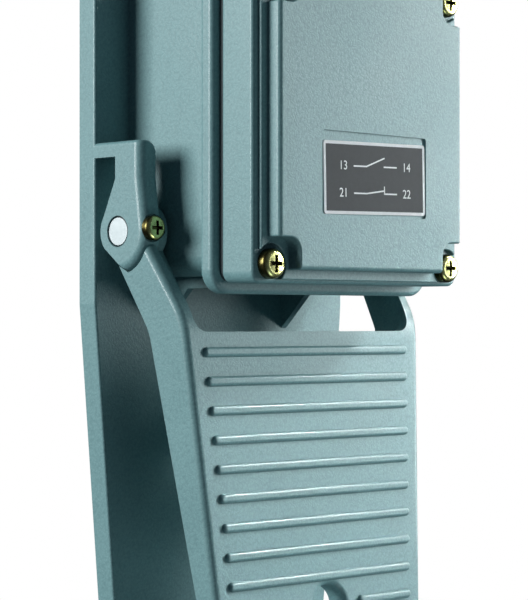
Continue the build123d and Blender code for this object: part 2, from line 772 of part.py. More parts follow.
with BuildPart() as cam_lever:
    with BuildSketch(Plane.YZ):
        with Locations((pivot_y, pivot_z)):
            Circle(lever_hub_radius)
    extrude(amount=lever_hub_width / 2, both=True)
    with BuildSketch(Plane.YZ):
        with Locations((pivot_y + (lever_reach + lever_tip) / 2, pivot_z)):
            Rectangle(lever_reach + lever_tip, lever_arm_thickness)
    extrude(amount=lever_arm_width / 2, both=True)
    # Ledge that the spring's rear leg pushes on
    ledge_top = pivot_z + coil_radius - coil_wire / 2
    ledge_y = pivot_y + ledge_near_y
    with BuildSketch(Plane.YZ.offset(lever_arm_width / 2 - 1)):
        Polygon((ledge_y, pivot_z - lever_arm_thickness / 2),
                (ledge_y + ledge_length, pivot_z - lever_arm_thickness / 2),
                (ledge_y + ledge_length, ledge_top), (ledge_y, ledge_top), align=None)
    extrude(amount=ledge_width)
    with BuildSketch(Plane.YZ):
        with Locations((pivot_y, pivot_z)):
            Circle(shaft_radius + seat_gap)
    extrude(amount=lever_hub_width, both=True, mode=Mode.SUBTRACT)
    with BuildSketch(Plane.XY.offset(pivot_z)):
        with Locations((0, pivot_y)):
            Circle(lever_pin_radius + seat_gap)
    extrude(amount=lever_hub_radius + 1, both=True, mode=Mode.SUBTRACT)
    tip_edges = cam_lever.edges().filter_by(Axis.X).group_by(Axis.Y)[-1]
    fillet(tip_edges, lever_arm_thickness / 4)
cam_lever.part.label = "cam_lever"
export_step(cam_lever.part, "parts/cam_lever.step")


with BuildPart(mode=Mode.PRIVATE) as torsion_coil:
    leg = pivot_y - inner_front_y - 0.4
    with BuildLine() as coil_path:
        turns = Helix(coil_pitch, coil_turns * coil_pitch, coil_radius)
        Line(turns @ 0 - (turns % 0) * (ledge_near_y + ledge_length), turns @ 0)
        Line(turns @ 1, turns @ 1 + (turns % 1) * leg)
    with BuildSketch(Plane(origin=coil_path.wire() @ 0, z_dir=coil_path.wire() % 0)):
        Circle(coil_wire / 2)
    sweep(path=coil_path.wire())

with BuildPart() as return_spring:
    coil_plane = Plane(origin=(coil_start_x, pivot_y, pivot_z + seat_gap), x_dir=(0, 0, 1), z_dir=(1, 0, 0))
    add(torsion_coil.part.moved(coil_plane.location))
return_spring.part.label = "return_spring"
export_step(return_spring.part, "parts/return_spring.step")


with BuildPart() as contact_block_body:
    with BuildSketch(Plane.XY.offset(block_bottom_z)):
        with Locations((0, plunger_y)):
            Rectangle(2 * block_half_x, 2 * block_half_y)
            SlotCenterToCenter(2 * ear_x, 2 * ear_radius)
    extrude(amount=block_base)
    with BuildSketch(Plane.XY.offset(block_top)):
        with Locations((0, plunger_y)):
            Rectangle(2 * chamber_half_x, 2 * chamber_half_y)
            Rectangle(2 * (chamber_half_x - chamber_wall), 2 * (chamber_half_y - chamber_wall),
                      mode=Mode.SUBTRACT)
            Rectangle(2 * chamber_half_x, strip_contact_width + 0.2, mode=Mode.SUBTRACT)
    extrude(amount=chamber_top_z - block_top)
    with BuildSketch(Plane.XY.offset(block_top)):
        with Locations((0, plunger_y)):
            Circle(stem_radius + running_gap)
        with Locations((ear_x, plunger_y), (-ear_x, plunger_y)):
            Circle(m4_pan[2] / 2 + 0.2)
    extrude(amount=-block_base, mode=Mode.SUBTRACT)
    with BuildSketch(Plane.XY.offset(block_top)):
        with Locations((0, plunger_y)):
            with GridLocations(2 * terminal_x, 2 * terminal_y, 2, 2):
                Circle(m35_pan[2] / 2 + seat_gap)
    extrude(amount=-(m35_pan[3] - strip_thickness - clamp_thickness + 0.3), mode=Mode.SUBTRACT)
contact_block_body.part.label = "contact_block_body"
export_step(contact_block_body.part, "parts/contact_block_body.step")


with BuildPart() as contact_block_cover:
    with BuildSketch(Plane.XY.offset(chamber_top_z)):
        with Locations((0, plunger_y)):
            Rectangle(2 * chamber_half_x, 2 * chamber_half_y)
    extrude(amount=block_lid)
    fillet(contact_block_cover.faces().sort_by(Axis.Z)[-1].edges(), 0.5)
    with BuildSketch(Plane.XY.offset(chamber_top_z)):
        with Locations((0, plunger_y)):
            Rectangle(2 * (chamber_half_x - chamber_wall - running_gap), strip_contact_width)
            Rectangle(4 * plunger_coil_radius, 2 * (chamber_half_y - chamber_wall - running_gap))
            Circle(plunger_coil_radius + plunger_coil_wire, mode=Mode.SUBTRACT)
    extrude(amount=-2 * block_lid / 3)
    with BuildSketch(Plane.XY.offset(chamber_top_z)):
        with Locations((0, plunger_y)):
            Circle(guide_radius + running_gap)
    extrude(amount=block_lid + 1, mode=Mode.SUBTRACT)
contact_block_cover.part.label = "contact_block_cover"
export_step(contact_block_cover.part, "parts/contact_block_cover.step")


with BuildPart() as block_mounting_screws:
    with Locations((ear_x, plunger_y, block_top), (-ear_x, plunger_y, block_top)):
        add(pan_screw(m4_pan))
block_mounting_screws.part.label = "block_mounting_screws"
export_step(block_mounting_screws.part, "parts/block_mounting_screws.step")


with BuildPart() as plunger:
    stem_foot = lever_top + plunger_gap
    collar_z = block_top + contact_gap
    stem_top = chamber_top_z + block_lid + guide_above
    with BuildSketch(Plane.XZ):
        with BuildLine():
            ThreePointArc((0, stem_foot), (stem_radius * sin(radians(45)), stem_foot + stem_radius * (1 - cos(radians(45)))),
                          (stem_radius, stem_foot + stem_radius))
            Polyline((stem_radius, stem_foot + stem_radius), (stem_radius, collar_z), (collar_radius, collar_z),
                     (collar_radius, collar_z + collar_height), (guide_radius, collar_z + collar_height),
                     (guide_radius, stem_top - 0.6), (guide_radius - 0.6, stem_top), (0, stem_top),
                     (0, stem_foot))
        make_face()
    revolve(axis=Axis.Z)
plunger.part = plunger.part.moved(Location((0, plunger_y, 0)))
plunger.part.label = "plunger"
export_step(plunger.part, "parts/plunger.step")


with BuildPart() as contact_bridge:
    with BuildSketch(Plane.XY.offset(bridge_z)):
        with Locations((0, plunger_y)):
            RectangleRounded(bridge_length, bridge_width, bridge_thickness)
    extrude(amount=bridge_thickness)
    with BuildSketch(Plane.XY.offset(bridge_z - tip_height)):
        with Locations((tip_x, plunger_y), (-tip_x, plunger_y)):
            Circle(tip_radius)
    extrude(amount=bridge_thickness + 2 * tip_height)
    with BuildSketch(Plane.XY.offset(bridge_z)):
        with Locations((0, plunger_y)):
            Circle(guide_radius + seat_gap)
    extrude(amount=bridge_thickness, mode=Mode.SUBTRACT)
contact_bridge.part.label = "contact_bridge"
export_step(contact_bridge.part, "parts/contact_bridge.step")


with BuildPart(mode=Mode.PRIVATE) as plunger_coil:
    coil_height = chamber_top_z - bridge_top - plunger_coil_wire - 2 * seat_gap
    with BuildLine() as plunger_path:
        Helix(coil_height / plunger_coil_turns, coil_height, plunger_coil_radius)
    with BuildSketch(Plane(origin=plunger_path.line @ 0, z_dir=plunger_path.line % 0)):
        Circle(plunger_coil_wire / 2)
    sweep(path=plunger_path.wire())

with BuildPart() as plunger_spring:
    with Locations((0, plunger_y, bridge_top + plunger_coil_wire / 2 + seat_gap)):
        add(plunger_coil.part)
plunger_spring.part.label = "plunger_spring"
export_step(plunger_spring.part, "parts/plunger_spring.step")


with BuildPart() as fixed_contacts:
    strip_depth = strip_far_y - strip_near_y
    riser_x = chamber_half_x + 0.3
    for side in (-1, 1):
        middle_x = side * (strip_inner_x + strip_outer_x) / 2
        # Lower strip, closed at rest
        with BuildSketch(Plane.XY.offset(lower_strip_z)):
            with Locations((middle_x, plunger_y)):
                Rectangle(strip_outer_x - strip_inner_x, strip_contact_width)
            with Locations((side * (riser_x + strip_outer_x) / 2, plunger_y - strip_far_y / 2)):
                Rectangle(strip_outer_x - riser_x, strip_far_y)
            with Locations((side * terminal_x, plunger_y - terminal_y)):
                Circle(m35_pan[2] / 2 + 0.2, mode=Mode.SUBTRACT)
        extrude(amount=strip_thickness)
        # Upper strip, closed when the pedal is down
        with BuildSketch(Plane.XY.offset(lower_strip_z)):
            with Locations((side * (riser_x + strip_outer_x) / 2, plunger_y + terminal_y)):
                Rectangle(strip_outer_x - riser_x, strip_depth)
            with Locations((side * terminal_x, plunger_y + terminal_y)):
                Circle(m35_pan[2] / 2 + 0.2, mode=Mode.SUBTRACT)
        extrude(amount=strip_thickness)
        with BuildSketch(Plane.XY.offset(lower_strip_z)):
            with Locations((side * (riser_x + strip_thickness / 2), plunger_y + terminal_y)):
                Rectangle(strip_thickness, strip_depth)
        extrude(amount=upper_strip_z + strip_thickness - lower_strip_z)
        with BuildSketch(Plane.XY.offset(upper_strip_z - 4)):
            with Locations((side * (riser_x + strip_thickness / 2), plunger_y + strip_near_y / 2)):
                Rectangle(strip_thickness, strip_near_y + strip_contact_width)
        extrude(amount=4 + strip_thickness)
        with BuildSketch(Plane.XY.offset(upper_strip_z)):
            with Locations((side * (strip_inner_x + riser_x + strip_thickness) / 2, plunger_y)):
                Rectangle(riser_x + strip_thickness - strip_inner_x, strip_contact_width)
        extrude(amount=strip_thickness)
fixed_contacts.part.label = "fixed_contacts"
export_step(fixed_contacts.part, "parts/fixed_contacts.step")


with BuildPart() as terminal_clamps:
    with BuildSketch(Plane.XY.offset(lower_strip_z + strip_thickness)):
        with Locations((0, plunger_y)):
            with GridLocations(2 * terminal_x, 2 * terminal_y, 2, 2):
                Rectangle(clamp_size, clamp_size)
                Circle(m35_pan[2] / 2 + 0.1, mode=Mode.SUBTRACT)
    extrude(amount=clamp_thickness)
terminal_clamps.part.label = "terminal_clamps"
export_step(terminal_clamps.part, "parts/terminal_clamps.step")


with BuildPart() as terminal_screws:
    with Locations((0, plunger_y, lower_strip_z + strip_thickness + clamp_thickness)):
        with GridLocations(2 * terminal_x, 2 * terminal_y, 2, 2):
            add(pan_screw(m35_pan))
terminal_screws.part.label = "terminal_screws"
export_step(terminal_screws.part, "parts/terminal_screws.step")


with BuildPart() as earth_washer:
    with Locations((earth_x, earth_y, base_height + earth_boss_height)):
        add(ring(earth_washer_radius, m4_earth[2] / 2 + 0.1, earth_washer_thickness))
earth_washer.part.label = "earth_washer"
export_step(earth_washer.part, "parts/earth_washer.step")


with BuildPart() as earth_screw:
    with Locations((earth_x, earth_y, base_height + earth_boss_height + earth_washer_thickness)):
        add(pan_screw(m4_earth))
earth_screw.part.label = "earth_screw"
export_step(earth_screw.part, "parts/earth_screw.step")


# A solid round or hexagonal piece along Y, between two places
def gland_section(start_y, end_y, radius, bore, across_flats=0):
    with BuildPart(mode=Mode.PRIVATE) as section:
        with BuildSketch(Plane.XZ.offset(-start_y)):
            with Locations((0, gland_z)):
                if across_flats:
                    RegularPolygon(across_flats / 2, 6, major_radius=False)
                else:
                    Circle(radius)
                if bore:
                    Circle(bore, mode=Mode.SUBTRACT)
        extrude(amount=-(end_y - start_y))
    return section.part


boss_face_y = housing_rear_y + gland_boss_length
hex_start_y = boss_face_y + gland_washer
hex_end_y = hex_start_y + gland_hex_length
front_end_y = hex_end_y + gland_front_length
thread_start_y = inner_rear_y - locknut_width - gland_inner_length
cap_start_y = hex_end_y + gland_cap_gap
seal_end_y = front_end_y + gland_seal_proud
cap_end_y = seal_end_y + gland_cap_wall

with BuildPart() as gland_body:
    add(gland_section(thread_start_y, hex_start_y, gland_thread_radius, 0))
    add(gland_section(hex_start_y, hex_end_y, 0, 0, gland_hex))
    add(gland_section(hex_end_y, front_end_y, gland_front_radius, 0))
    add(gland_section(thread_start_y, front_end_y, gland_bore, 0), mode=Mode.SUBTRACT)
    add(gland_section(front_end_y - gland_seat_depth, front_end_y, gland_seat_radius, 0), mode=Mode.SUBTRACT)
gland_body.part.label = "gland_body"
export_step(gland_body.part, "parts/gland_body.step")


with BuildPart() as gland_washer_ring:
    add(gland_section(boss_face_y, hex_start_y, gland_washer_radius, gland_thread_radius + running_gap))
gland_washer_ring.part.label = "gland_washer"
export_step(gland_washer_ring.part, "parts/gland_washer.step")


with BuildPart() as gland_locknut:
    add(gland_section(inner_rear_y - locknut_width, inner_rear_y, 0, gland_thread_radius + seat_gap, gland_hex))
gland_locknut.part.label = "gland_locknut"
export_step(gland_locknut.part, "parts/gland_locknut.step")


with BuildPart() as gland_seal:
    add(gland_section(front_end_y - gland_seat_depth + seat_gap, seal_end_y - seat_gap,
                      gland_seat_radius - seat_gap, cable_radius))
gland_seal.part.label = "gland_seal"
export_step(gland_seal.part, "parts/gland_seal.step")


with BuildPart() as gland_cap:
    add(gland_section(cap_start_y, cap_start_y + gland_cap_flats, 0, 0, gland_hex))
    add(gland_section(cap_start_y, cap_end_y, gland_hex / 2 - 0.4, 0))
    fillet(gland_cap.faces().sort_by(Axis.Y)[-1].edges(), gland_cap_wall * 0.7)
    add(gland_section(cap_start_y, seal_end_y, gland_front_radius + seat_gap, 0), mode=Mode.SUBTRACT)
    add(gland_section(cap_start_y, cap_end_y, gland_cap_bore, 0), mode=Mode.SUBTRACT)
gland_cap.part.label = "gland_cap"
export_step(gland_cap.part, "parts/gland_cap.step")


with BuildPart() as cover_gasket:
    with BuildSketch(Plane.XY.offset(flange_top)):
        with Locations((0, housing_middle_y)):
            RectangleRounded(cover_width - 2 * gasket_inset, cover_length - 2 * gasket_inset, cover_radius)
            RectangleRounded(cover_width - 2 * gasket_inset - 2 * gasket_band,
                             cover_length - 2 * gasket_inset - 2 * gasket_band, cover_radius, mode=Mode.SUBTRACT)
            with GridLocations(cover_screw_spacing_x, cover_screw_spacing_y, 2, 2):
                Circle(cover_boss_radius)
                Circle(m5_pan[2] / 2 + 0.1, mode=Mode.SUBTRACT)
    extrude(amount=gasket_thickness)
cover_gasket.part.label = "cover_gasket"
export_step(cover_gasket.part, "parts/cover_gasket.step")


with BuildPart() as cover:
    with BuildSketch(Plane.XY.offset(cover_bottom)):
        with Locations((0, housing_middle_y)):
            RectangleRounded(cover_width, cover_length, cover_radius)
    extrude(amount=cover_side_height)
    fillet(cover.faces().sort_by(Axis.Z)[-1].edges(), cover_edge_radius)
    fillet(cover.faces().sort_by(Axis.Z)[0].edges(), cover_edge_radius)
    with BuildPart(mode=Mode.PRIVATE) as step:
        with BuildSketch(Plane.XY.offset(ledge_z - 1)) as step_plan:
            with Locations((0, housing_middle_y)):
                RectangleRounded(cover_width - 2 * step_side_inset, cover_length - 2 * step_end_inset,
                                 cover_radius - 1)
                with GridLocations(cover_screw_spacing_x, cover_screw_spacing_y, 2, 2):
                    Circle(pocket_radius, mode=Mode.SUBTRACT)
        extrude(amount=step_height + 1)
        fillet(step.faces().sort_by(Axis.Z)[-1].edges(), step_edge_radius)
    add(step.part)
    with BuildPart(mode=Mode.PRIVATE) as panel:
        with BuildSketch(Plane.XY.offset(ledge_z)):
            with Locations((0, housing_middle_y)):
                panel_width = cover_width - 2 * panel_side_inset
                panel_length = cover_length - 2 * panel_end_inset
                RectangleRounded(panel_width, panel_length, panel_radius)
                with GridLocations(panel_width, panel_length, 2, 2):
                    RectangleRounded(2 * pocket_side, 2 * pocket_end, pocket_corner, mode=Mode.SUBTRACT)
        extrude(amount=panel_z - ledge_z)
        # The straight edges are well rounded, the pockets' edges only a little
        top_edges = panel.faces().sort_by(Axis.Z)[-1].edges()
        side_edges = top_edges.filter_by(lambda e: abs(e.center().X) > panel_width / 2 - 0.1)
        end_edges = top_edges.filter_by(lambda e: abs(e.center().Y - housing_middle_y) > panel_length / 2 - 0.1)
        fillet(side_edges + end_edges, panel_edge_radius)
        pocket_arcs = panel.faces().sort_by(Axis.Z)[-1].edges().filter_by(GeomType.CIRCLE)
        fillet(pocket_arcs, pocket_edge_radius)
        with BuildSketch(Plane.XY.offset(ledge_z)):
            with Locations((0, housing_middle_y)):
                with GridLocations(cover_screw_spacing_x, cover_screw_spacing_y, 2, 2):
                    Circle(pocket_radius)
        extrude(amount=panel_z, mode=Mode.SUBTRACT)
    add(panel.part)
    # Inside of the cover, with bosses round the screws
    with BuildSketch(Plane.XY.offset(cover_bottom)):
        with Locations((0, housing_middle_y)):
            RectangleRounded(cover_width - 2 * cover_wall, cover_length - 2 * cover_wall, cover_radius / 2)
            with GridLocations(cover_screw_spacing_x, cover_screw_spacing_y, 2, 2):
                Circle(cover_boss_radius, mode=Mode.SUBTRACT)
    extrude(amount=cover_side_height - cover_wall, mode=Mode.SUBTRACT)
    with BuildSketch(Plane.XY.offset(ledge_z - cover_wall)):
        with Locations((0, housing_middle_y)):
            Rectangle(panel_width - 2 * cover_wall, panel_length - 2 * cover_wall)
            with GridLocations(panel_width, panel_length, 2, 2):
                RectangleRounded(2 * (pocket_side + cover_wall), 2 * (pocket_end + cover_wall), pocket_corner,
                                 mode=Mode.SUBTRACT)
    extrude(amount=panel_z - panel_thickness - ledge_z + cover_wall, mode=Mode.SUBTRACT)
    with BuildSketch(Plane.XY.offset(cover_bottom)):
        with Locations((0, housing_middle_y)):
            with GridLocations(cover_screw_spacing_x, cover_screw_spacing_y, 2, 2):
                Circle(cover_hole_radius)
    extrude(amount=cover_side_height + 1, mode=Mode.SUBTRACT)
    # Recess for the label plate
    with BuildSketch(Plane.XY.offset(panel_z)):
        with Locations((recess_x, recess_y)):
            RectangleRounded(recess_width, recess_height, plate_radius)
    extrude(amount=-recess_depth, mode=Mode.SUBTRACT)
cover.part.label = "cover"
export_step(cover.part, "parts/cover.step")


with BuildPart() as cover_screws:
    with Locations((0, housing_middle_y, ledge_z)):
        with GridLocations(cover_screw_spacing_x, cover_screw_spacing_y, 2, 2):
            add(pan_screw(m5_pan))
cover_screws.part.label = "cover_screws"
export_step(cover_screws.part, "parts/cover_screws.step")


with BuildPart() as label_plate:
    with BuildSketch(Plane.XY.offset(panel_z - recess_depth)):
        with Locations(Location((plate_x, plate_y, 0), (0, 0, plate_turn_deg))):
            RectangleRounded(plate_width, plate_height, plate_radius)
    extrude(amount=plate_thickness)
label_plate.part.label = "label_plate"
export_step(label_plate.part, "parts/label_plate.step")
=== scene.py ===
# %% [markdown]
# # An industrial foot switch
# The shape comes from the CAD frame: a cast base with a switch housing, a stepped cover, a ribbed pedal on two arms
# and the works inside. The castings could be modelled again here, but their roundings are already in the frame, so
# they keep its meshes. This file gives each piece its finish, puts the marks on the cover's small plate, and sets up
# the light and the camera. Everything is in metres: X across, +Y from the toe to the rear, +Z up.

# %% Load the frame and keep its size
import math

import bpy
from mathutils import Matrix, Vector


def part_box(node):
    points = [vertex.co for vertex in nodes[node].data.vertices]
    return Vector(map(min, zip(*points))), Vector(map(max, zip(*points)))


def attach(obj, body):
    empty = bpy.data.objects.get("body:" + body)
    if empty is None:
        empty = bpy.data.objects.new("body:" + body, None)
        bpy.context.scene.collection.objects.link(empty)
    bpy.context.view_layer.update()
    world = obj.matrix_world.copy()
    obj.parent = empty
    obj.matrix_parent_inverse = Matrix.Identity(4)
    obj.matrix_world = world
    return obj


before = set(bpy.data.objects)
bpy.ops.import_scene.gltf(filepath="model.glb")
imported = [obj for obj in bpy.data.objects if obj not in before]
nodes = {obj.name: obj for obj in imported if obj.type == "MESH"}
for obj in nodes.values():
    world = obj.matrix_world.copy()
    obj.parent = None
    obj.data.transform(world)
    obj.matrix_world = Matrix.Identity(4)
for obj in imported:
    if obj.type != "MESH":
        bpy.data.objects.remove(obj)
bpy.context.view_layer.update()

# %% [markdown]
# ## The camera
# The photo looks down at 45 degrees from the left side, with the toe of the pedal at the bottom of the picture. A
# long lens keeps the edges almost parallel. A camera can be placed by eye, but this one was fitted to the edges of
# the cover and the base, so that the render and the photo can be compared edge by edge. The small upward shift puts
# the lens axis a little below the middle.

# %% Camera
PICTURE_WIDTH = 528
SENSOR = 36.0
FOCAL_PIXELS = 2114.0
AXIS_BELOW_MIDDLE = 22.6
VIEW_TILT = math.radians(45)
CAMERA_PLACE = (-0.5019, -0.009, 0.5284)
NEAR_LIMIT = 0.01
FAR_LIMIT = 50

right = Vector((math.cos(VIEW_TILT), 0, math.sin(VIEW_TILT)))
up = Vector((0, 1, 0))
back = right.cross(up)
camera_data = bpy.data.cameras.new("camera")
camera_data.sensor_fit = "HORIZONTAL"
camera_data.sensor_width = SENSOR
camera_data.lens = FOCAL_PIXELS * SENSOR / PICTURE_WIDTH
camera_data.shift_y = AXIS_BELOW_MIDDLE / PICTURE_WIDTH
camera_data.clip_start = NEAR_LIMIT
camera_data.clip_end = FAR_LIMIT
camera = bpy.data.objects.new("camera", camera_data)
view_turn = Matrix((right, up, back)).transposed().to_4x4()
camera.matrix_world = Matrix.Translation(CAMERA_PLACE) @ view_turn
bpy.context.scene.collection.objects.link(camera)
bpy.context.scene.camera = camera
print("lens", round(camera_data.lens, 2), "mm")

# %% [markdown]
# ## Shader sums in Python
# A finish is a small network of nodes. It could be built one node and one link at a time, but then the sum is hard
# to read. `Wire` wraps one output socket, so that `0.4 + 0.1 * speckle` adds the Math nodes by itself, and
# `Finish.node` makes any other node from its type, its settings and its inputs.

# %% A socket that can be used in sums
class Wire:
    def __init__(self, finish, socket):
        self.finish = finish
        self.socket = socket

    def sum(self, operation, first, second):
        return self.finish.node("ShaderNodeMath", {"operation": operation}, {0: first, 1: second})

    def __add__(self, other):
        return self.sum("ADD", self, other)

    def __radd__(self, other):
        return self.sum("ADD", other, self)

    def __sub__(self, other):
        return self.sum("SUBTRACT", self, other)

    def __rsub__(self, other):
        return self.sum("SUBTRACT", other, self)

    def __mul__(self, other):
        return self.sum("MULTIPLY", self, other)

    def __rmul__(self, other):
        return self.sum("MULTIPLY", other, self)

    def __gt__(self, other):
        return self.sum("GREATER_THAN", self, other)

    def __or__(self, other):
        return self.sum("MAXIMUM", self, other)

    def __abs__(self):
        return self.sum("ABSOLUTE", self, 0.0)


print("sums ready")


# %% One material and the nodes behind its shader
class Network:
    def __init__(self, name, constants):
        self.material = bpy.data.materials.new(name)
        self.material.use_nodes = True
        self.tree = self.material.node_tree
        self.shader = self.tree.nodes["Principled BSDF"]
        for socket, value in constants.items():
            self.shader.inputs[socket].default_value = value

    def node(self, kind, settings=None, inputs=None, output=0):
        made = self.tree.nodes.new(kind)
        for name, value in (settings or {}).items():
            if name == "stops":
                self.set_stops(made.color_ramp, value)
            else:
                setattr(made, name, value)
        for name, value in (inputs or {}).items():
            self.join(made.inputs[name], value)
        return Wire(self, made.outputs[output])

    def set_stops(self, ramp, stops):
        while len(ramp.elements) > 1:
            ramp.elements.remove(ramp.elements[-1])
        for count, (place, colour) in enumerate(stops):
            stop = ramp.elements[0] if count == 0 else ramp.elements.new(place)
            stop.position = place
            stop.color = colour

    def join(self, socket, value):
        if isinstance(value, Wire):
            self.tree.links.new(value.socket, socket)
        else:
            socket.default_value = value

    def drive(self, socket, value):
        self.join(self.shader.inputs[socket], value)


print("network ready")

# %% [markdown]
# ## Patterns that the finishes share
# Every real finish here has some grain, spots or dents. Their nodes could be made anew for each, but a few short
# methods keep each finish down to what sets it apart. Some sockets of these nodes have no name of their own, so
# their numbers get one.

# %% Patterns
OBJECT_PLACE = 3
MIX_SHARE = 0
VECTOR_A, VECTOR_B, VECTOR_OUT = 4, 5, 1
COLOUR_A, COLOUR_B, COLOUR_OUT = 6, 7, 2
CELL_SMOOTHNESS = 0.4
NOISE_DETAIL = 2.0
NOISE_ROUGHNESS = 0.5
BLACK, WHITE = (0, 0, 0, 1), (1, 1, 1, 1)


class Finish(Network):
    def place(self):
        return self.node("ShaderNodeTexCoord", output=OBJECT_PLACE)

    def axes(self):
        split = self.node("ShaderNodeSeparateXYZ", inputs={0: self.place()})
        return [Wire(self, socket) for socket in split.socket.node.outputs]

    def noise(self, scale, detail=NOISE_DETAIL, roughness=NOISE_ROUGHNESS):
        sockets = {"Vector": self.place(), "Scale": scale, "Detail": detail, "Roughness": roughness}
        return self.node("ShaderNodeTexNoise", inputs=sockets)

    def cells(self, scale, at):
        sockets = {"Vector": at, "Scale": scale, "Smoothness": CELL_SMOOTHNESS}
        return self.node("ShaderNodeTexVoronoi", {"feature": "SMOOTH_F1"}, sockets)

    def ramp(self, value, start, end):
        return self.node("ShaderNodeValToRGB", {"stops": [(start, BLACK), (end, WHITE)]}, {0: value})

    def mix(self, share, first, second):
        sockets = {MIX_SHARE: share, COLOUR_A: first, COLOUR_B: second}
        return self.node("ShaderNodeMix", {"data_type": "RGBA"}, sockets, output=COLOUR_OUT)

    def pull(self, share, towards):
        sockets = {MIX_SHARE: share, VECTOR_A: self.place(), VECTOR_B: towards}
        return self.node("ShaderNodeMix", {"data_type": "VECTOR"}, sockets, output=VECTOR_OUT)

    def bump(self, height, distance):
        return self.node("ShaderNodeBump", inputs={"Height": height, "Distance": distance, "Strength": 1.0})


print("patterns ready")

# %% [markdown]
# ## Hammered paint
# The castings are sprayed with a grey-green paint that draws together into small shallow pebbles as it dries. Real
# bumps this small would need millions of faces, so they come from a Bump node. Two layers of soft cells, about 0.9
# and 0.4 mm across, make the pebbles, and a little noise bends their pattern out of line. A slow noise changes the
# colour a little, as thin and thick paint does. The colour is also painted lighter on top of each pebble and darker
# in the hollows between them, which is painted shade.

# %% Hammered paint
PAINT_LIGHT = (0.178, 0.328, 0.340, 1)
PAINT_DARK = (0.126, 0.245, 0.258, 1)
GLAZE = {"Roughness": 0.5, "Specular IOR Level": 0.35, "Coat Weight": 0.25, "Coat Roughness": 0.14}
PEBBLE_SCALE = 1100.0
SMALL_PEBBLES = 2.1
PEBBLE_HEIGHT = 0.00006
PEBBLE_SHARES = (0.75, 0.35)
WARP_SCALE = 300.0
WARP_SHARE = 0.004
CLOUD_SCALE, CLOUD_DETAIL = 38.0, 3.0
# The first share below is painted shade from each pebble's height, the second the slow change of the paint's colour.
PEBBLE_SHADE_AND_TONE_SHARES = (0.7, 0.3)
TONE_RANGE = (0.25, 0.75)
PAINT_ROUGH, PAINT_ROUGH_SPREAD = 0.40, 0.16


def hammered_paint(name):
    coat = Finish(name, GLAZE)
    spot = coat.pull(WARP_SHARE, coat.noise(WARP_SCALE))
    large = coat.cells(PEBBLE_SCALE, spot)
    small = coat.cells(PEBBLE_SCALE * SMALL_PEBBLES, spot)
    mound = 1.0 - (large * PEBBLE_SHARES[0] + small * PEBBLE_SHARES[1])
    cloud = coat.noise(CLOUD_SCALE, CLOUD_DETAIL)
    # Painted shade: the colour follows each pebble's height, lighter on its top and darker in the hollows, mixed with
    # the slow noise.
    pebble_shade_and_tone = coat.ramp(mound * PEBBLE_SHADE_AND_TONE_SHARES[0] + cloud * PEBBLE_SHADE_AND_TONE_SHARES[1], *TONE_RANGE)
    coat.drive("Base Color", coat.mix(pebble_shade_and_tone, PAINT_DARK, PAINT_LIGHT))
    coat.drive("Roughness", PAINT_ROUGH + PAINT_ROUGH_SPREAD * cloud)
    coat.drive("Normal", coat.bump(mound, PEBBLE_HEIGHT))
    return coat.material


paint = hammered_paint("hammered_paint")
print("finish", paint.name)

# %% [markdown]
# ## Steel, brass and plated metal
# The shaft, pins, lever and springs are dull steel, the gland is nickel-plated brass, and the bushes and contacts
# are plain brass. A single colour would look like plastic, so two close colours drift into each other, and fine
# scratches change the gloss.

# %% Steel, brass and plated metal
DRIFT_SCALE, DRIFT_DETAIL = 160.0, 3.0
DRIFT_RANGE = (0.3, 0.7)
SCRATCH_SCALE, SCRATCH_ROUGHNESS = 900.0, 0.7
SCRATCH_HEIGHT = 0.00001
GLOSS_SPREAD = 0.16


def plated(name, first, second, rough):
    metal = Finish(name, {"Metallic": 1.0, "Roughness": rough})
    drift = metal.noise(DRIFT_SCALE, DRIFT_DETAIL)
    scratch = metal.noise(SCRATCH_SCALE, roughness=SCRATCH_ROUGHNESS)
    metal.drive("Base Color", metal.mix(metal.ramp(drift, *DRIFT_RANGE), first, second))
    metal.drive("Roughness", rough - GLOSS_SPREAD / 2 + GLOSS_SPREAD * scratch)
    metal.drive("Normal", metal.bump(scratch, SCRATCH_HEIGHT))
    return metal.material


zinc = plated("yellow_zinc", (0.86, 0.78, 0.34, 1), (0.66, 0.66, 0.34, 1), rough=0.22)
steel = plated("turned_steel", (0.33, 0.36, 0.37, 1), (0.27, 0.30, 0.31, 1), rough=0.46)
brass = plated("brass", (0.72, 0.52, 0.22, 1), (0.62, 0.44, 0.18, 1), rough=0.30)
nickel = plated("nickel_brass", (0.62, 0.60, 0.55, 1), (0.52, 0.51, 0.48, 1), rough=0.26)
print("finishes", zinc.name, steel.name, brass.name, nickel.name)

# %% [markdown]
# ## Screw heads
# The screws that show are steel with a thin yellow zinc plate. It drifts between straw and green, and it has dark
# stains. The cross recess and the sides of the head are painted nearly brown: that is painted shade, which stands in
# for the shade in the recess and on the sides. It could be a second material on some faces. Here it comes from how
# far a point lies below the head's top, which needs no face to be picked. The cover's heads and the lugs' heads lie
# at two heights, so there are two finishes.

# %% Screw heads
STRAW = (0.80, 0.72, 0.26, 1)
GREEN_ZINC = (0.60, 0.66, 0.30, 1)
STAIN = (0.16, 0.15, 0.05, 1)
# The next colour is painted shade for the cross recess and the head's sides.
RECESS_SHADE = (0.10, 0.085, 0.03, 1)
HEAD_DRIFT_SCALE, HEAD_DRIFT_DETAIL = 220.0, 3.0
STAIN_SCALE, STAIN_DETAIL, STAIN_ROUGHNESS = 420.0, 4.0, 0.65
STAIN_RANGE = (0.50, 0.68)
STAIN_SHARE = 0.75
RECESS_DEPTHS_MM = (0.35, 0.95)
MM_PER_METRE = 1000.0
HEAD_ROUGH, HEAD_ROUGH_DRIFT, HEAD_ROUGH_STAIN = 0.16, 0.20, 0.12
HEAD_BUMP = 0.00004


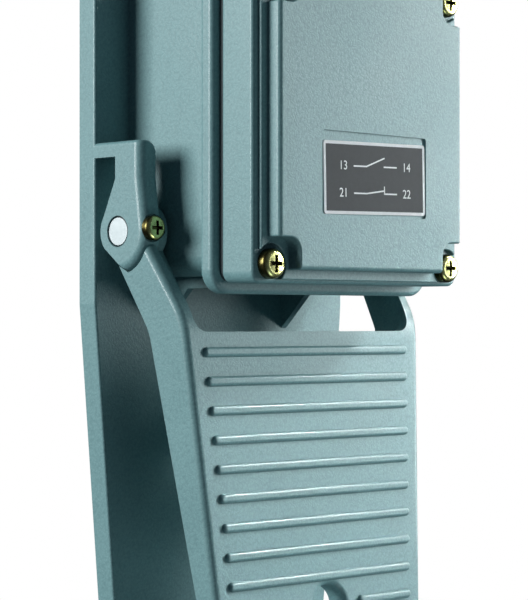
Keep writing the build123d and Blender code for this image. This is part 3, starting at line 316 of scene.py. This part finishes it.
def zinc_screw(name, top):
    head = Finish(name, {"Metallic": 1.0, "Roughness": 0.2})
    height = head.axes()[2]
    drift = head.noise(HEAD_DRIFT_SCALE, HEAD_DRIFT_DETAIL)
    stain = head.ramp(head.noise(STAIN_SCALE, STAIN_DETAIL, STAIN_ROUGHNESS), *STAIN_RANGE)
    worn = head.mix(stain * STAIN_SHARE, head.mix(drift, STRAW, GREEN_ZINC), STAIN)
    # Painted shade: the recess and the head's sides get darker the further they lie below the head's top.
    recess_shade = head.ramp((top - height) * MM_PER_METRE, *RECESS_DEPTHS_MM)
    head.drive("Base Color", head.mix(recess_shade, worn, RECESS_SHADE))
    head.drive("Roughness", HEAD_ROUGH + HEAD_ROUGH_DRIFT * drift + HEAD_ROUGH_STAIN * stain)
    head.drive("Normal", head.bump(drift, HEAD_BUMP))
    return head.material


def top_of(piece):
    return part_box(piece)[1][2]


cover_zinc = zinc_screw("cover_screw_zinc", top_of("cover_screws"))
lug_zinc = zinc_screw("lug_screw_zinc", top_of("shaft_retaining_screws"))
print("finishes", cover_zinc.name, lug_zinc.name)

# %% [markdown]
# ## Gasket, rubber and plastic
# The gasket, the seals and the mouldings inside are dull and nearly even. A plain colour would do at a distance, but
# a fine grain in the colour and the gloss keeps them from looking flat close by. One function serves all of them.

# %% Gasket, rubber and plastic
SPECKLE_DETAIL, SPECKLE_ROUGHNESS = 3.0, 0.6
SPECKLE_DARK = 0.75
SPECKLE_GLOSS = 0.1
SPECKLE_BUMP = 0.00003
FINE_GRAIN, PLASTIC_GRAIN = 1400.0, 900.0


def dull(name, colour, rough, grain):
    skin = Finish(name, {"Roughness": rough})
    speckle = skin.noise(grain, SPECKLE_DETAIL, SPECKLE_ROUGHNESS)
    darker = tuple(SPECKLE_DARK * level for level in colour[:3]) + (1,)
    skin.drive("Base Color", skin.mix(speckle, darker, colour))
    skin.drive("Roughness", rough - SPECKLE_GLOSS / 2 + SPECKLE_GLOSS * speckle)
    skin.drive("Normal", skin.bump(speckle, SPECKLE_BUMP))
    return skin.material


rubber = dull("black_rubber", (0.028, 0.028, 0.030, 1), 0.62, FINE_GRAIN)
gasket = dull("dark_gasket", (0.060, 0.085, 0.092, 1), 0.7, FINE_GRAIN)
block_plastic = dull("black_plastic", (0.035, 0.035, 0.038, 1), 0.45, PLASTIC_GRAIN)
ivory_plastic = dull("ivory_plastic", (0.72, 0.68, 0.56, 1), 0.40, PLASTIC_GRAIN)
print("finishes", rubber.name, gasket.name, block_plastic.name, ivory_plastic.name)

# %% [markdown]
# ## The plate
# The plate near the cover's front edge is thin aluminium with a dark printed face and a bare rim. The rim could be a
# raised frame, but on the real plate it is only metal that the print leaves free. So it is a mask from the plate's
# own edges, which follows the plate's small turn.

# %% Printed plate
PLATE_HALF = (0.024, 0.0115)
PLATE_TURN = math.radians(1.2)
RIM = 0.0010
PRINT_DARK, PRINT_LIGHT = (0.018, 0.021, 0.024, 1), (0.036, 0.041, 0.046, 1)
METAL_DARK, METAL_LIGHT = (0.60, 0.62, 0.63, 1), (0.74, 0.76, 0.77, 1)
SCUFF_SCALE, SCUFF_DETAIL, SCUFF_ROUGHNESS = 700.0, 4.0, 0.65
SCUFF_BUMP = 0.00001
PLATE_ROUGH, PLATE_ROUGH_SPREAD = 0.44, 0.2

plate_low, plate_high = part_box("label_plate")
PLATE_CENTRE = tuple((low + high) / 2 for low, high in zip(plate_low, plate_high))


def printed_plate(name):
    plate = Finish(name, {"Roughness": 0.5, "Specular IOR Level": 0.12})
    x, y = plate.axes()[:2]
    turn_cos, turn_sin = math.cos(PLATE_TURN), math.sin(PLATE_TURN)
    across = (x - PLATE_CENTRE[0]) * turn_cos + (y - PLATE_CENTRE[1]) * turn_sin
    along = (y - PLATE_CENTRE[1]) * turn_cos - (x - PLATE_CENTRE[0]) * turn_sin
    rim = (abs(across) > PLATE_HALF[0] - RIM) | (abs(along) > PLATE_HALF[1] - RIM)
    scuff = plate.noise(SCUFF_SCALE, SCUFF_DETAIL, SCUFF_ROUGHNESS)
    face = plate.mix(scuff, PRINT_DARK, PRINT_LIGHT)
    metal = plate.mix(scuff, METAL_DARK, METAL_LIGHT)
    plate.drive("Base Color", plate.mix(rim, face, metal))
    plate.drive("Roughness", PLATE_ROUGH + PLATE_ROUGH_SPREAD * scuff)
    plate.drive("Normal", plate.bump(scuff, SCUFF_BUMP))
    return plate.material


plate_face = printed_plate("printed_plate")
print("finish", plate_face.name, "plate centre", [round(v, 5) for v in PLATE_CENTRE])

# %% [markdown]
# ## Marks on the plate
# A plate of this kind shows how the contacts are wired. These marks are the general ones of such switches: an open
# and a closed contact, each with the two numbers of its terminals. They could be drawn by a shader, but geometry
# stays sharp and goes into the export. Each stroke is a thin raised bar and each number a thin solid figure, both
# lying on the plate's face.

# %% Ink and the plate's own directions
INK_HEIGHT = 0.00003
STROKE = 0.00045
NUMBER_SIZE = 0.0040
INK_GRAIN = 1600.0

ink = dull("print_ink", (0.74, 0.76, 0.76, 1), 0.5, INK_GRAIN)
plate_top = Matrix.Translation((PLATE_CENTRE[0], PLATE_CENTRE[1], plate_high[2]))
plate_frame = plate_top @ Matrix.Rotation(PLATE_TURN, 4, "Z")
marks = []
print("finish", ink.name)


# %% Put one mark on the plate
def print_mark(name, data, place):
    data.materials.append(ink)
    made = bpy.data.objects.new(name, data)
    made.matrix_world = place
    bpy.context.scene.collection.objects.link(made)
    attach(made, "base")
    marks.append(made)


def stroke(name, start, end):
    start, end = Vector(start), Vector(end)
    way = (end - start).normalized() * STROKE / 2
    side = Vector((-way.y, way.x))
    corners = [start - way - side, end + way - side, end + way + side, start - way + side]
    rings = [(c.x, c.y, 0.0) for c in corners] + [(c.x, c.y, INK_HEIGHT) for c in corners]
    faces = [(3, 2, 1, 0), (4, 5, 6, 7), (0, 1, 5, 4), (1, 2, 6, 5), (2, 3, 7, 6), (3, 0, 4, 7)]
    mesh = bpy.data.meshes.new(name)
    mesh.from_pydata(rings, [], faces)
    print_mark(name, mesh, plate_frame)


def number(name, digits, middle):
    figures = bpy.data.curves.new(name, "FONT")
    figures.body = digits
    figures.size = NUMBER_SIZE
    figures.align_x = "CENTER"
    figures.align_y = "CENTER"
    figures.extrude = INK_HEIGHT / 2
    print_mark(name, figures, plate_frame @ Matrix.Translation((middle[0], middle[1], INK_HEIGHT / 2)))


print("marks so far", len(marks))

# %% The two contacts
WIRE_END = 0.0100
BLADE = 0.0042
NUMBER_PLACE = 0.0150
OPEN_SWING, CLOSED_SWING = 0.0028, 0.0010
STOP_HEIGHT = 0.0022
UPPER_ROW, LOWER_ROW = 0.0038, -0.0048


def contact(name, row, numbers, closed):
    stroke(name + "_wire_in", (-WIRE_END, row), (-BLADE, row))
    stroke(name + "_wire_out", (BLADE, row), (WIRE_END, row))
    swing = CLOSED_SWING if closed else OPEN_SWING
    stroke(name + "_blade", (-BLADE, row), (BLADE, row + swing))
    if closed:
        stroke(name + "_stop", (BLADE, row), (BLADE, row + STOP_HEIGHT))
    number(name + "_first", numbers[0], (-NUMBER_PLACE, row))
    number(name + "_second", numbers[1], (NUMBER_PLACE, row))


contact("open_contact", UPPER_ROW, ("13", "14"), closed=False)
contact("closed_contact", LOWER_ROW, ("21", "22"), closed=True)
print("marks", len(marks))

# %% [markdown]
# ## Give every piece its finish
# On the real switch each piece has one finish all over, so one material slot is enough. The meshes could be copied
# and dressed as new objects, but a CAD piece that keeps its mesh also keeps its size. Only its slot changes.

# %% Dress the CAD pieces
FINISHES = {
    paint: ["base_casting", "cover", "pedal"],
    cover_zinc: ["cover_screws"],
    lug_zinc: ["shaft_retaining_screws"],
    zinc: ["block_mounting_screws", "terminal_clamps", "terminal_screws", "earth_screw"],
    steel: ["pedal_shaft", "arm_pins", "lever_pin", "cam_lever", "return_spring", "plunger_spring"],
    brass: ["shaft_bushes", "contact_bridge", "fixed_contacts", "earth_washer"],
    nickel: ["gland_body", "gland_cap", "gland_locknut"],
    gasket: ["cover_gasket"],
    rubber: ["shaft_seals", "gland_washer", "gland_seal"],
    block_plastic: ["contact_block_body", "contact_block_cover"],
    ivory_plastic: ["plunger"],
    plate_face: ["label_plate"],
}
for finish, names in FINISHES.items():
    for name in names:
        slots = nodes[name].data.materials
        slots.clear()
        slots.append(finish)
dressed = {name for names in FINISHES.values() for name in names}
print("pieces with no finish", sorted(set(nodes) - dressed))

# %% [markdown]
# ## The floor
# In the photo the switch stands over plain white. A matt white floor would go grey at its far end and throw light
# back at the casting, so this one glows for the camera alone and is left out of every other ray.

# %% Floor
FLOOR_HALF = 20.0
FLOOR_DROP = 0.0003
OTHER_RAYS = ("visible_diffuse", "visible_glossy", "visible_transmission", "visible_shadow")


def glow_white(name):
    glow = bpy.data.materials.new(name)
    glow.use_nodes = True
    tree = glow.node_tree
    tree.nodes.clear()
    out = tree.nodes.new("ShaderNodeOutputMaterial")
    lit = tree.nodes.new("ShaderNodeEmission")
    lit.inputs["Color"].default_value = WHITE
    lit.inputs["Strength"].default_value = 1.0
    tree.links.new(lit.outputs[0], out.inputs[0])
    return glow


def glowing_floor():
    mesh = bpy.data.meshes.new("floor")
    near, far = -FLOOR_HALF, FLOOR_HALF
    corners = [(near, near, 0), (far, near, 0), (far, far, 0), (near, far, 0)]
    mesh.from_pydata(corners, [], [(0, 1, 2, 3)])
    mesh.materials.append(glow_white("white_floor"))
    made = bpy.data.objects.new("floor", mesh)
    made.location.z = -FLOOR_DROP
    for ray in OTHER_RAYS:
        setattr(made, ray, False)
    bpy.context.scene.collection.objects.link(made)
    return made


floor = glowing_floor()
print("floor", floor.name)

# %% [markdown]
# ## The lights
# The photo is lit from both sides of the picture and a little from behind. One sky all round would be simpler, but it
# takes the shadows and the highlights away. So a large soft light stands at the left, low enough to graze the sides,
# and a smaller one at the right brightens the cover and the tread. A weak one lifts the toe. A narrow one from behind
# on the right gives the ribs their bright edges. The sky only fills the darkest places.

# %% Lights
MIDDLE = (0, 0, 0.035)
TREAD = (0, -0.085, 0.05)
SKY_COLOUR = (0.62, 0.78, 1.0, 1)
SKY_STRENGTH = 0.08


def softbox(name, towards, distance, size, power, colour=WHITE[:3], aim=MIDDLE, spread=180):
    data = bpy.data.lights.new(name, "AREA")
    data.shape = "RECTANGLE"
    data.size, data.size_y = size
    data.energy = power
    data.spread = math.radians(spread)
    data.color = colour
    made = bpy.data.objects.new(name, data)
    way = Vector(towards).normalized()
    made.location = Vector(aim) + way * distance
    made.rotation_euler = way.to_track_quat("Z", "Y").to_euler()
    bpy.context.scene.collection.objects.link(made)


softbox("left_light", towards=(-0.80, 0.27, -0.44), distance=2.4, size=(1.2, 1.2), power=76.0,
        colour=(0.97, 1.0, 1.0))
softbox("right_light", towards=(0.86, 0.16, 0.50), distance=1.2, size=(0.6, 0.3), power=16.5,
        colour=(0.94, 1.0, 1.0))
softbox("front_fill", towards=(0.10, -0.9, 0.75), distance=1.4, size=(0.6, 0.6), power=3.4,
        colour=(0.85, 1.0, 1.0))
softbox("rear_light", towards=(0.66, 0.58, 0.38), distance=1.2, size=(0.14, 0.14), power=0.12,
        aim=TREAD, spread=16)

# %% Sky and colours
world = bpy.data.worlds.new("studio")
world.use_nodes = True
sky = world.node_tree.nodes["Background"]
sky.inputs["Color"].default_value = SKY_COLOUR
sky.inputs["Strength"].default_value = SKY_STRENGTH
bpy.context.scene.world = world
bpy.context.scene.view_settings.view_transform = "Standard"
print("sky", SKY_STRENGTH)
